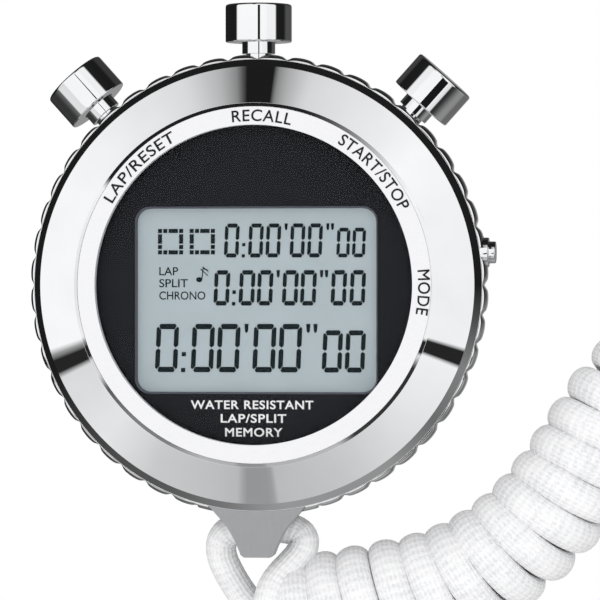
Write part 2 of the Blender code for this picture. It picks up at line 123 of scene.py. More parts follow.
# Cord
CORD_DIAMETER = 4.4
CORD_ROUTE = (
    (1.2, -46.9, 12.6), (1.35, -44.6, 12.2), (2.0, -42.5, 11.2), (3.5, -40.6, 10.2), (5.2, -38.8, 9.5),
    (6.2, -36.9, 9.0), (5.3, -35.2, 8.7), (2.8, -34.7, 8.6), (0.0, -34.7, 8.6), (-2.8, -34.7, 8.6),
    (-5.2, -35.3, 8.5), (-6.2, -37.0, 8.2), (-6.0, -39.2, 7.8), (-5.0, -41.4, 7.4), (-3.8, -43.5, 7.1),
    (-2.2, -45.5, 7.1), (0.6, -47.0, 7.3), (5.9, -47.0, 7.6),
)
ROLL_AXIS = (
    (1.2, -46.9, 7.7), (6.4, -46.9, 7.7), (9.0, -46.9, 7.8), (11.5, -46.1, 8.2), (15.2, -44.8, 8.65),
    (21.4, -44.1, 8.65), (28.2, -42.0, 8.65), (37.2, -36.2, 8.65), (43.3, -29.2, 8.65), (48.2, -21.8, 8.65),
    (52.4, -15.0, 8.65), (58.4, -9.6, 8.65), (65.5, -6.6, 8.65), (70.0, -5.9, 8.65),
)
EXIT_INDEX = 8  # the route's point in the middle of the lug's hole
ROLL_NEAR = 4.9
ROLL_FULL = 6.45
ROLL_TAPER = 8.0  # millimetres of axis over which the roll reaches its full radius
ROLL_PITCH = 4.8
AXIS_PASSES = 150  # smoothing of the roll's axis
ROLL_PRESS = 0.15  # how far the roll's turns press each other out of round
TURN_STEPS = 16

# Printed words and the display's marks
LABELS = (  # text, middle angle, angle it spans, radius of the letters' baseline
    ("RECALL", 86.9, 20.6, 23.1), ("LAP/RESET", 134.2, 31.8, 23.1), ("START/STOP", 42.7, 32.4, 23.25),
    ("MODE", -2.5, 15.0, 23.42),
)
LABEL_LETTERS = 1.6  # height of the ring's letters
PRINT = 0.03  # thickness of printed letters
MASK_WORDS = (  # text, middle, baseline, width
    ("WATER RESISTANT", -0.37, -17.5, 17.5), ("LAP/SPLIT", -0.16, -19.42, 9.35),
    ("MEMORY", -0.11, -21.38, 8.2),
)
INK_HEIGHT = 0.04  # how far the display's marks stand above its glass
SLANT = 0.045  # how far the display's figures lean, as a share of their height

# Camera
VIEW_TILT = 7.5  # degrees that the camera stands towards +X
VIEW_TARGET = (6.30, -2.12, 15.8)
VIEW_DISTANCE = 600.0
VIEW_WIDTH = 84.8
SENSOR = 36.0
UNMIRRORED = ("cap_", "neck_", "seal_")  # pieces that the plating doesn't reflect


# ---------------------------------------------------------------- meshes

def add_piece(name, mesh, surface, body="watch", replaces=()):
    """Puts a finished mesh in the scene as a piece that rides on a body."""
    obj = bpy.data.objects.new(name, mesh)
    bpy.context.scene.collection.objects.link(obj)
    for finish in surface if isinstance(surface, (list, tuple)) else [surface]:
        mesh.materials.append(finish)
    if replaces:
        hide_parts(*replaces)
    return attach(obj, body)


def mesh_from(name, body, matrix=None, sharp=32.0):
    """A smooth-shaded mesh in metres from a bmesh in millimetres."""
    if matrix:
        bmesh.ops.transform(body, matrix=matrix, verts=body.verts)
    bmesh.ops.scale(body, vec=(MM, MM, MM), verts=body.verts)
    bmesh.ops.recalc_face_normals(body, faces=body.faces)
    mesh = bpy.data.meshes.new(name)
    body.to_mesh(mesh)
    body.free()
    mesh.shade_smooth()
    mesh.set_sharp_from_angle(angle=math.radians(sharp))
    return mesh


def even_normals(obj):
    """Keeps wide faces flat in their shading beside small rounded edges."""
    weighted = obj.modifiers.new("even_normals", "WEIGHTED_NORMAL")
    weighted.keep_sharp = True
    weighted.weight = 80
    return obj


def softened(profile, radius, steps=4, closed=True):
    """A profile whose corners are rounded. radius is one number, or one for each point."""
    count = len(profile)
    radii = radius if isinstance(radius, (list, tuple)) else [radius] * count
    points = []
    for index, corner in enumerate(profile):
        here = Vector(corner)
        on_end = not closed and index in (0, count - 1)
        if on_end or radii[index] == 0:
            points.append(tuple(here))
            continue
        back = Vector(profile[index - 1]) - here
        ahead = Vector(profile[(index + 1) % count]) - here
        turn = back.angle(ahead)
        reach = min(radii[index] / math.tan(turn / 2), 0.45 * back.length, 0.45 * ahead.length)
        start = here + back.normalized() * reach
        end = here + ahead.normalized() * reach
        for step in range(steps + 1):
            t = step / steps
            points.append(tuple((1 - t) ** 2 * start + 2 * t * (1 - t) * here + t**2 * end))
    return points


def lathe(profile, steps, closed=True, radius_at=None):
    """A bmesh turned about Z. A profile that isn't closed starts and ends on the axis."""
    body = bmesh.new()
    rings = []
    for r, z in profile:
        if r < 1e-6:
            rings.append([body.verts.new((0, 0, z))] * steps)
            continue
        ring = []
        for step in range(steps):
            angle = 2 * math.pi * step / steps
            reach = radius_at(r, z, angle) if radius_at else r
            ring.append(body.verts.new((reach * math.cos(angle), reach * math.sin(angle), z)))
        rings.append(ring)
    pairs = list(zip(rings, rings[1:])) + ([(rings[-1], rings[0])] if closed else [])
    for upper, lower in pairs:
        for step in range(steps):
            after = (step + 1) % steps
            corners = []
            for vert in (upper[step], lower[step], lower[after], upper[after]):
                if vert not in corners:
                    corners.append(vert)
            if len(corners) > 2:
                body.faces.new(corners)
    return body


def prism(outline, low, high):
    """A bmesh of a flat outline between two heights."""
    body = bmesh.new()
    floor = body.faces.new([body.verts.new((x, y, low)) for x, y in outline])
    raised = bmesh.ops.extrude_face_region(body, geom=[floor])
    up = [v for v in raised["geom"] if isinstance(v, bmesh.types.BMVert)]
    bmesh.ops.translate(body, vec=(0, 0, high - low), verts=up)
    bmesh.ops.recalc_face_normals(body, faces=body.faces)
    return body


def window_outline(size, corner, arc_points=8):
    """The outline of a rectangle with round corners, centred on the dial's window."""
    half = (size[0] / 2 - corner, size[1] / 2 - corner)
    outline = []
    for quarter, (sx, sy) in enumerate(((1, 1), (-1, 1), (-1, -1), (1, -1))):
        for step in range(arc_points + 1):
            angle = math.radians(90 * (quarter + step / arc_points))
            x = WINDOW_X + sx * half[0] + corner * math.cos(angle)
            outline.append((x, WINDOW_Y + sy * half[1] + corner * math.sin(angle)))
    return outline


def boolean(mesh, cutters, operation="DIFFERENCE"):
    """The mesh with the cutters' shapes cut from it, or joined to it."""
    obj = bpy.data.objects.new("work", mesh)
    bpy.context.scene.collection.objects.link(obj)
    helpers = []
    for index, cutter in enumerate(cutters):
        helper = bpy.data.objects.new(f"cutter_{index}", cutter)
        bpy.context.scene.collection.objects.link(helper)
        helpers.append(helper)
        cut = obj.modifiers.new("cut", "BOOLEAN")
        cut.operation = operation
        cut.solver = "EXACT"
        cut.object = helper
    graph = bpy.context.evaluated_depsgraph_get()
    made = bpy.data.meshes.new_from_object(obj.evaluated_get(graph))
    for helper in [obj, *helpers]:
        bpy.data.objects.remove(helper)
    return made


def outward(angle, height=BUTTON_HEIGHT, across=0.0):
    """The matrix that turns local Z outwards along a button's axis."""
    way = Vector((math.cos(math.radians(angle)), math.sin(math.radians(angle)), 0.0))
    return Matrix.Translation((0, across, height)) @ way.to_track_quat("Z", "Y").to_matrix().to_4x4()


def smooth_line(route, spacing):
    """Points at an even spacing along the smooth curve through a route's own points."""
    places = [Vector(point) for point in route]
    ends = [2 * places[0] - places[1], *places, 2 * places[-1] - places[-2]]
    dense = []
    for a, b, c, d in zip(ends, ends[1:], ends[2:], ends[3:]):
        for step in range(20):
            t = step / 20
            squared = (2 * a - 5 * b + 4 * c - d) * t**2
            cubed = (3 * b - a - 3 * c + d) * t**3
            dense.append(0.5 * (2 * b + (c - a) * t + squared + cubed))
    dense.append(places[-1])
    lengths = [0.0]
    for a, b in zip(dense, dense[1:]):
        lengths.append(lengths[-1] + (b - a).length)
    count = max(2, round(lengths[-1] / spacing))
    line, at = [], 0
    for step in range(count + 1):
        wanted = lengths[-1] * step / count
        while at < len(dense) - 2 and lengths[at + 1] < wanted:
            at += 1
        share = (wanted - lengths[at]) / (lengths[at + 1] - lengths[at])
        line.append(dense[at].lerp(dense[at + 1], min(share, 1.0)))
    return line


# ---------------------------------------------------------------- materials

class Finish:
    """A Principled material under construction."""

    def __init__(self, name, **sockets):
        self.material = bpy.data.materials.new(name)
        self.material.use_nodes = True
        self.nodes = self.material.node_tree.nodes
        self.links = self.material.node_tree.links
        self.shader = self.nodes["Principled BSDF"]
        for socket, value in sockets.items():
            self.shader.inputs[socket.replace("_", " ")].default_value = value
        self.place = self.nodes.new("ShaderNodeTexCoord").outputs["Object"]

    def node(self, kind, inputs=(), **settings):
        """A node with its settings, and its inputs linked or set, by name or number."""
        made = self.nodes.new(kind)
        for key, value in settings.items():
            setattr(made, key, value)
        for key, value in dict(inputs).items():
            if isinstance(value, bpy.types.NodeSocket):
                self.links.new(value, made.inputs[key])
            else:
                made.inputs[key].default_value = value
        return made

    def stretched(self, scale):
        """The place in the frame, scaled by axis."""
        return self.node("ShaderNodeMapping", {"Vector": self.place, "Scale": scale}).outputs[0]

    def noise(self, size, detail=3.0, stretch=(1, 1, 1)):
        """Noise whose lumps are about size millimetres."""
        inputs = {"Vector": self.stretched(stretch), "Scale": 1 / (size * MM), "Detail": detail}
        return self.node("ShaderNodeTexNoise", inputs).outputs["Fac"]

    def ramp(self, factor, stops):
        """A colour ramp of (place, colour) stops."""
        ramp = self.node("ShaderNodeValToRGB", {"Fac": factor})
        elements = ramp.color_ramp.elements
        while len(elements) < len(stops):
            elements.new(0.5)
        for element, (place, color) in zip(elements, stops):
            element.position = place
            element.color = (*color, 1.0)
        return ramp.outputs["Color"]

    def between(self, factor, low, high):
        """A number that goes from low to high with the factor."""
        return self.node("ShaderNodeMapRange", {"Value": factor, "To Min": low, "To Max": high}).outputs[0]

    def drive(self, socket, value):
        self.links.new(value, self.shader.inputs[socket])

    def relief(self, height, depth, strength=1.0, under=None):
        """Bump of a depth in millimetres, on top of another bump if one is given."""
        inputs = {"Height": height, "Distance": depth * MM, "Strength": strength}
        if under:
            inputs["Normal"] = under
        bump = self.node("ShaderNodeBump", inputs).outputs["Normal"]
        self.links.new(bump, self.shader.inputs["Normal"])
        return bump


def plain(name, dark, light, rough, size=0.8, depth=0.004, stretch=(1, 1, 1), **sockets):
    """A finish whose colour, roughness and relief all follow fine noise."""
    finish = Finish(name, **sockets)
    grain = finish.noise(size, 4.0, stretch)
    finish.drive("Base Color", finish.ramp(grain, [(0.3, dark), (0.7, light)]))
    finish.drive("Roughness", finish.between(grain, *rough))
    finish.relief(grain, depth)
    return finish.material


def turned_metal(name, dark, light, rough, lines, depth):
    """Metal finished on a lathe: fine rings about Z, uneven like real tool marks."""
    finish = Finish(name, Metallic=1.0)
    rings = finish.node("ShaderNodeTexWave", {
        "Vector": finish.place, "Scale": lines / MM / 20, "Distortion": 1.5,
        "Detail": 3.0, "Detail Scale": 2.0,
    }, wave_type="RINGS", rings_direction="Z").outputs["Fac"]
    cloud = finish.noise(3.0)
    finish.drive("Base Color", finish.ramp(cloud, [(0.3, dark), (0.7, light)]))
    finish.drive("Roughness", finish.between(rings, *rough))
    finish.relief(rings, depth)
    return finish.material


CHROME = plain("chrome_plate", (0.90, 0.905, 0.92), (0.94, 0.945, 0.955), (0.0, 0.02), 6.0, 0.0001,
               Metallic=1.0)
SATIN = turned_metal("satin_steel", (0.62, 0.63, 0.65), (0.70, 0.71, 0.73), (0.25, 0.38), 12.0, 0.002)
LUG_SATIN = plain("lug_satin", (0.465, 0.47, 0.482), (0.50, 0.506, 0.518), (0.42, 0.5), 0.5, 0.001,
                  stretch=(1, 0.15, 1), Metallic=1.0)
LABEL = plain("label_aluminium", (0.80, 0.80, 0.825), (0.84, 0.84, 0.865), (0.42, 0.5), 0.25, 0.0008)
BLACK = plain("black_lacquer", (0.011, 0.012, 0.015), (0.014, 0.015, 0.019), (0.3, 0.42), 0.6, 0.0008,
              Specular_IOR_Level=0.06)
INK = plain("black_ink", (0.010, 0.011, 0.013), (0.018, 0.019, 0.022), (0.5, 0.65), 0.15, 0.001,
            Specular_IOR_Level=0.2)
WHITE_INK = plain("white_ink", (0.86, 0.86, 0.87), (0.95, 0.95, 0.95), (0.5, 0.6), 0.15, 0.001)
DISPLAY = plain("display_glass", (0.43, 0.51, 0.54), (0.46, 0.54, 0.575), (0.3, 0.4), 5.0, 0.0002)
SEGMENT = plain("display_segment", (0.006, 0.012, 0.014), (0.010, 0.018, 0.022), (0.4, 0.5), 0.4, 0.0005,
                Specular_IOR_Level=0.06)
SURROUND = plain("window_surround", (0.095, 0.10, 0.125), (0.115, 0.12, 0.15), (0.5, 0.6), 0.3, 0.002)
RUBBER = plain("black_rubber", (0.018, 0.018, 0.018), (0.032, 0.032, 0.032), (0.7, 0.85), 0.2, 0.01)
MOULDING = plain("moulded_plastic", (0.16, 0.16, 0.17), (0.2, 0.2, 0.21), (0.5, 0.65), 0.3, 0.01)
BOARD = plain("circuit_board_green", (0.012, 0.12, 0.05), (0.02, 0.17, 0.075), (0.35, 0.5), 1.4, 0.01)
BRASS = plain("brass", (0.68, 0.48, 0.19), (0.78, 0.58, 0.26), (0.22, 0.36), 0.3, 0.003, Metallic=1.0)
STEEL = plain("spring_steel", (0.5, 0.5, 0.52), (0.66, 0.66, 0.68), (0.22, 0.38), 0.2, 0.003, Metallic=1.0)


def window_glass():
    """Clear pane: it lets the dial show and adds only its reflection."""
    finish = Finish("window_glass", Alpha=0.05, IOR=1.45)
    haze = finish.noise(4.0)
    finish.drive("Base Color", finish.ramp(haze, [(0.3, (0.02, 0.021, 0.023)), (0.7, (0.026, 0.027, 0.03))]))
    finish.drive("Roughness", finish.between(haze, 0.01, 0.04))
    return finish.material


def braided_cotton():
    """White braid: V-shaped stitches in two crossing sets, with a faint fuzz; its colour is darker where the
    stitches sink, which is painted shade.
    """
    finish = Finish("white_cord", Roughness=0.9, Sheen_Weight=0.25, Sheen_Roughness=0.5, IOR=1.4)
    place = finish.node("ShaderNodeUVMap", uv_map="along_and_round").outputs["UV"]
    split = finish.node("ShaderNodeSeparateXYZ", {0: place})
    along, around = split.outputs[0], split.outputs[1]

    def math_node(operation, a, b=0.0):
        return finish.node("ShaderNodeMath", {0: a, 1: b}, operation=operation).outputs[0]

    def wave(turns):
        return math_node("SINE", math_node("MULTIPLY", turns, math.tau))

    stitch = math_node("MULTIPLY", wave(math_node("ADD", along, around)),
                       wave(math_node("SUBTRACT", along, around)))
    fuzz = finish.noise(0.35, 5.0)
    cloud = finish.noise(3.5)
    wool = math_node("ADD", math_node("MULTIPLY", fuzz, 0.55), math_node("MULTIPLY", cloud, 0.45))
    # Painted shade: the stitch pattern that shapes the relief also darkens the colour where the braid sinks
    # between stitches. Fuzz and cloud are the cotton's own uneven tone.
    tone_and_stitch_shade = math_node("ADD", math_node("MULTIPLY", stitch, 0.10), wool)
    finish.drive("Base Color", finish.ramp(tone_and_stitch_shade, [(0.3, (0.70, 0.705, 0.72)), (0.5, (0.87, 0.87, 0.88)),
                                                   (0.7, (0.95, 0.95, 0.95))]))
    finish.drive("Roughness", finish.between(fuzz, 0.8, 0.98))
    under = finish.relief(stitch, 0.05)
    finish.relief(fuzz, 0.06, under=under)
    return finish.material


GLASS = window_glass()
COTTON = braided_cotton()


# ---------------------------------------------------------------- camera and light

def camera():
    """The view that shows the face from a little to its right."""
    tilt = math.radians(VIEW_TILT)
    away = Vector((math.sin(tilt), 0.0, math.cos(tilt)))
    data = bpy.data.cameras.new("camera")
    data.sensor_width = SENSOR
    data.lens = SENSOR * VIEW_DISTANCE / VIEW_WIDTH
    data.clip_start, data.clip_end = 0.01, 50.0
    eye = bpy.data.objects.new("camera", data)
    bpy.context.scene.collection.objects.link(eye)
    eye.location = (Vector(VIEW_TARGET) + away * VIEW_DISTANCE) * MM
    right = Vector((0, 1, 0)).cross(away)
    eye.rotation_euler = Matrix((right, Vector((0, 1, 0)), away)).transposed().to_euler()
    bpy.context.scene.camera = eye


# The studio as chrome sees it. Each ring is a list of (azimuth in degrees, brightness).
SKY_RING = (
    (0, 0.93), (47, 1.0), (69, 0.84), (85, 0.72), (92, 0.42), (94.4, 0.25), (94.8, 0.012), (103.9, 0.012),
    (104.2, 0.2), (110, 0.5), (119, 0.75), (128, 0.84), (155, 1.0), (195.2, 1.0), (195.6, 0.02),
    (200.2, 0.02),
    (200.6, 0.74), (218, 0.85), (232, 0.63), (241, 0.585), (255.7, 0.52), (256.1, 0.33), (264.3, 0.33),
    (264.7, 0.52), (291, 0.64), (307, 0.78), (324, 0.89), (333.6, 0.95), (334, 0.02), (339, 0.02),
    (339.4, 0.95), (360, 0.93),
)
HIGH_RING = (
    (0, 0.015), (200, 0.015), (222, 0.3), (245, 0.2), (262, 0.2), (272, 0.08), (285, 0.03), (325, 0.03),
    (350, 0.03), (360, 0.015),
)
LOW_RING = (
    (0, 0.012), (200, 0.012), (222, 0.055), (240, 0.09), (255, 0.2), (270, 0.4), (300, 0.45), (318, 0.25),
    (335, 0.4), (350, 0.12), (360, 0.012),
)
BELOW_RING = (
    (0, 0.085), (42, 0.04), (138, 0.055), (170, 0.012), (200, 0.02), (222, 0.06), (270, 0.25), (318, 0.14),
    (345, 0.2), (360, 0.085),
)
SKY_EDGE = (
    (0, 68), (28, 68), (37, 58), (60, 57), (125, 57), (138, 60), (146, 62), (152, 72), (205, 72), (215, 60),
    (245, 66), (290, 60), (305, 48), (322, 46), (333, 56), (345, 64), (360, 68),
)
LINE_X = 0.150  # dark line between two overhead panels, as a share of the unit direction
LINE_HALF = 0.07
LINE_REACH = 0.32
PANEL_WAY = 318.0  # azimuth of the dark panels at the lower right, overhead
PANEL_SPANS = ((0.07, 0.185), (0.262, 0.52))
PANEL_SIDE = (-0.22, -0.005)
RIM_LINE = (27.0, 34.0)  # zenith angles of the thin dark line round the left panel
RIM_LINE_WAYS = (206.0, 236.0)


def studio():
    """Soft white light for matt surfaces, and bright panels with dark gaps for the chrome to show."""
    world = bpy.data.worlds.new("studio")
    bpy.context.scene.world = world
    world.use_nodes = True
    world.cycles.sampling_method = "NONE"
    nodes, links = world.node_tree.nodes, world.node_tree.links
    nodes.clear()

    def node(kind, inputs=(), **settings):
        made = nodes.new(kind)
        for key, value in settings.items():
            setattr(made, key, value)
        for key, value in dict(inputs).items():
            if isinstance(value, bpy.types.NodeSocket):
                links.new(value, made.inputs[key])
            else:
                made.inputs[key].default_value = value
        return made

    def number(operation, a, b=0.0):
        return node("ShaderNodeMath", {0: a, 1: b}, operation=operation).outputs[0]

    def ring(azimuth, stops, scale=1.0):
        ramp = node("ShaderNodeValToRGB", {"Fac": azimuth})
        elements = ramp.color_ramp.elements
        while len(elements) < len(stops):
            elements.new(0.5)
        for element, (degrees, value) in zip(elements, stops):
            element.position = degrees / 360
            element.color = (value * scale,) * 3 + (1.0,)
        return node("ShaderNodeRGBToBW", {0: ramp.outputs["Color"]}).outputs[0]

    def blend(factor, low, high):
        rest = number("MULTIPLY", low, number("SUBTRACT", 1.0, factor))
        return number("ADD", rest, number("MULTIPLY", high, factor))

    way = node("ShaderNodeSeparateXYZ", {0: node("ShaderNodeTexCoord").outputs["Generated"]})
    x, y, z = way.outputs
    azimuth = number("FRACT", number("ADD", number("DIVIDE", number("ARCTAN2", y, x), math.tau), 1.0))
    zenith = number("MULTIPLY", number("ARCCOSINE", z), 180 / math.pi)
    edge = number("MULTIPLY", ring(azimuth, SKY_EDGE, 1 / 100), 100.0)

    def between(value, low, high):
        return number("MULTIPLY", number("GREATER_THAN", value, low), number("LESS_THAN", value, high))

    def fade(value, low, high):
        return node("ShaderNodeMapRange", {"Value": value, "From Min": low, "From Max": high},
                    interpolation_type="SMOOTHSTEP").outputs[0]

    overhead = blend(fade(zenith, 33.0, 38.0), 1.0, ring(azimuth, SKY_RING))
    line = number("MULTIPLY", between(x, LINE_X - LINE_HALF, LINE_X + LINE_HALF),
                  between(y, -LINE_REACH, LINE_REACH))
    panel = math.radians(PANEL_WAY)
    ahead, across = math.cos(panel), math.sin(panel)
    onward = number("ADD", number("MULTIPLY", x, ahead), number("MULTIPLY", y, across))
    sideways = number("SUBTRACT", number("MULTIPLY", y, ahead), number("MULTIPLY", x, across))
    spans = number("ADD", between(onward, *PANEL_SPANS[0]), between(onward, *PANEL_SPANS[1]))
    panels = number("MULTIPLY", spans, between(sideways, *PANEL_SIDE))
    degrees = number("MULTIPLY", azimuth, 360.0)
    rim_line = number("MULTIPLY", between(zenith, *RIM_LINE), between(degrees, *RIM_LINE_WAYS))
    dark = number("MAXIMUM", number("MAXIMUM", line, panels), rim_line)
    overhead = blend(number("MULTIPLY", dark, number("GREATER_THAN", z, 0.0)), overhead, 0.01)
    horizon = blend(fade(zenith, 55.0, 95.0), ring(azimuth, HIGH_RING), ring(azimuth, LOW_RING))
    above = blend(fade(number("SUBTRACT", zenith, edge), -2.0, 5.0), overhead, horizon)
    below = blend(fade(zenith, 160.0, 168.0), ring(azimuth, BELOW_RING), 0.3)
    mirrored = blend(fade(zenith, 104.0, 122.0), above, below)
    soft = node("ShaderNodeMapRange", {"Value": z, "From Min": -0.6, "From Max": 0.9, "To Min": 0.35,
                                       "To Max": 1.3}).outputs[0]
    path = node("ShaderNodeLightPath")
    lit = blend(path.outputs["Is Glossy Ray"], soft, mirrored)
    shown = blend(path.outputs["Is Camera Ray"], lit, 1.0)
    background = node("ShaderNodeBackground", {"Color": (1.0, 1.0, 1.0, 1.0), "Strength": shown})
    links.new(background.outputs[0], node("ShaderNodeOutputWorld").inputs["Surface"])
    bpy.context.scene.view_settings.view_transform = "Standard"


# ---------------------------------------------------------------- cord

def cord_line():
    """The whole cord: lug, right strand, turns round the core, back down the core, left strand, lug."""
    right = [Vector(p) for p in reversed(CORD_ROUTE[:EXIT_INDEX + 1])]
    left = [Vector(p) for p in reversed(CORD_ROUTE[EXIT_INDEX:])]
    axis = [Vector(p) for p in eased(np.array([tuple(p) for p in smooth_line(ROLL_AXIS, 0.5)]), AXIS_PASSES)]
    spacing = sum((b - a).length for a, b in zip(axis, axis[1:])) / (len(axis) - 1)
    turns = int(spacing * (len(axis) - 1) / ROLL_PITCH)
    helix = []
    for step in range(1, turns * TURN_STEPS + 1):
        run = ROLL_PITCH * step / TURN_STEPS
        at = run / spacing
        index = min(int(at), len(axis) - 2)
        centre = axis[index].lerp(axis[index + 1], at - index)
        ahead = (axis[index + 1] - axis[index]).normalized()
        side = Vector((0, 0, 1)).cross(ahead).normalized()
        up = ahead.cross(side)
        share = min(1.0, run / ROLL_TAPER)
        radius = ROLL_NEAR + (ROLL_FULL - ROLL_NEAR) * share * share * (3 - 2 * share)
        angle = math.tau * step / TURN_STEPS
        helix.append(centre + radius * (math.cos(angle) * up - math.sin(angle) * side))
    core = [axis[-6], *[axis[i] for i in range(len(axis) - 16, 10, -8)]]
    return right + helix + core + left


def flattened(line, offset):
    """Presses the roll's turns together: a little wider along its axis, a little thinner across it."""
    axis = np.array([tuple(p) for p in smooth_line(ROLL_AXIS, 0.5)])
    along = np.gradient(axis, axis=0)
    along /= np.linalg.norm(along, axis=1)[:, None]
    away = np.linalg.norm(line[:, None, :] - axis[None, :, :], axis=2)
    nearest = away.argmin(axis=1)
    distance = away[np.arange(len(line)), nearest]
    share = np.clip((distance - 3.2) / 1.6, 0, 1) * np.clip(8.0 - distance, 0, 1) * (nearest > 6)
    way = along[nearest]
    out = line - axis[nearest]
    out -= way * (out * way).sum(axis=1)[:, None]
    out /= np.linalg.norm(out, axis=1)[:, None] + 1e-9
    lengthways = (offset * way[:, None, :]).sum(axis=2)[..., None] * way[:, None, :]
    outwards = (offset * out[:, None, :]).sum(axis=2)[..., None] * out[:, None, :]
    return offset + share[:, None, None] * (ROLL_PRESS * lengthways - ROLL_PRESS * outwards)


def squeezed(line, ahead, offset):
    """Keeps the inside of a tight bend from folding over itself."""
    step = np.linalg.norm(np.gradient(line, axis=0), axis=1)
    bend = np.gradient(ahead, axis=0) / step[:, None]
    sharpness = np.linalg.norm(bend, axis=1) + 1e-9
    inwards = bend / sharpness[:, None]
    limit = 0.85 / sharpness
    reach = (offset * inwards[:, None, :]).sum(axis=2)
    return offset - np.maximum(reach - limit[:, None], 0)[..., None] * inwards[:, None, :]


def eased(line, passes):
    """A line of points with its kinks smoothed out and its ends kept."""
    for _ in range(passes):
        middle = 0.25 * line[:-2] + 0.5 * line[1:-1] + 0.25 * line[2:]
        line = np.concatenate([line[:1], middle, line[-1:]])
    return line


def braided_tube(name, line, radius, sides, spacing):
    """A round tube along a line, whose surface carries the plait's ribs, with its UVs counted in stitches."""
    dense = eased(np.array([tuple(p) for p in smooth_line([tuple(p) for p in line], spacing)]), 10)
    ahead = np.gradient(dense, axis=0)
    ahead /= np.linalg.norm(ahead, axis=1)[:, None]
    side = np.zeros_like(dense)
    side[0] = np.cross(ahead[0], (0.0, 0.0, 1.0))
    for index in range(1, len(dense)):
        carried = side[index - 1] - ahead[index] * side[index - 1].dot(ahead[index])
        side[index] = carried / np.linalg.norm(carried)
    up = np.cross(ahead, side)
    along = np.concatenate([[0.0], np.cumsum(np.linalg.norm(np.diff(dense, axis=0), axis=1))])
    ribs = 11  # stitches round the cord in each direction of the plait
    stitch = 1.05  # length of one stitch
    angles = math.tau * np.arange(sides) / sides
    u = along[:, None] / (2 * stitch) * np.ones(sides)
    v = ribs * angles[None, :] / math.tau
    swell = 0.02 * np.sin(math.tau * (u + v)) * np.sin(math.tau * (u - v))
    reach = radius - 0.02 + swell
    offset = reach[..., None] * (
        np.cos(angles)[None, :, None] * side[:, None, :] + np.sin(angles)[None, :, None] * up[:, None, :]
    )
    offset = squeezed(dense, ahead, flattened(dense, offset))
    points = dense[:, None, :] + offset
    points[..., 2] = np.maximum(points[..., 2], 0.02)
    rows = len(dense)
    corners = np.arange(rows * sides).reshape(rows, sides)
    after = np.roll(corners, -1, axis=1)
    quads = np.stack([corners[:-1], after[:-1], after[1:], corners[1:]], axis=-1).reshape(-1, 4)
    mesh = bpy.data.meshes.new(name)
    mesh.from_pydata((points.reshape(-1, 3) * MM).tolist(), [], quads.tolist() + [
        corners[0][::-1].tolist(), corners[-1].tolist(),
    ])
    layer = mesh.uv_layers.new(name="along_and_round")
    ends = np.zeros((2 * sides, 2))
    column = np.arange(sides) / sides * ribs
    lower = along[:-1] / (2 * stitch)
    upper = along[1:] / (2 * stitch)
    wide = np.zeros((rows - 1, sides, 4, 2))
    wide[..., 0, 0] = wide[..., 1, 0] = lower[:, None]
    wide[..., 2, 0] = wide[..., 3, 0] = upper[:, None]
    wide[..., 0, 1] = wide[..., 3, 1] = column[None, :]
    wide[..., 1, 1] = wide[..., 2, 1] = column[None, :] + ribs / sides
    layer.data.foreach_set("uv", np.concatenate([wide.reshape(-1, 2), ends]).ravel())
    body = bmesh.new()
    body.from_mesh(mesh)
    bmesh.ops.recalc_face_normals(body, faces=body.faces)
    body.to_mesh(mesh)
    body.free()
    mesh.shade_smooth()
    return mesh, dense


def neck_cord():
    mesh, line = braided_tube("neck_cord", cord_line(), CORD_DIAMETER / 2, 26, 0.42)
    length = float(np.linalg.norm(np.diff(line, axis=0), axis=1).sum()) * MM
    print(f"neck cord {length:.3f} m, {len(mesh.polygons)} faces")
    cord = add_piece("neck_cord", mesh, COTTON, replaces=("cord_loop", "cord_roll"))


# ---------------------------------------------------------------- case

def scalloped(r, z, angle):
    """The rim's radius at an angle: bulging lobes, narrow hollows between them, none beside the lug."""
    floor_radius = RIM_INNER - 0.01
    if r <= floor_radius or z < RIM_BACK - 0.01:
        return r
    x, y = r * math.cos(angle), r * math.sin(angle)
    if y < 0 and abs(x) < LUG_OUTLINE[0][0] + 1.0:
        return r
    # across is 1 in the middle of a lobe and 0 in a hollow
    across = abs((angle * SCALLOPS / math.tau + 0.5) % 1.0 - 0.5) * 2
    hollow = max(0.0, 1 - across / HOLLOW_SHARE)
    depth = LOBE_ROUND * (1 - across) ** 2 + HOLLOW_DEPTH * hollow * hollow * (3 - 2 * hollow)
    return r - depth * (r - floor_radius) / (RIM_RADIUS - floor_radius)


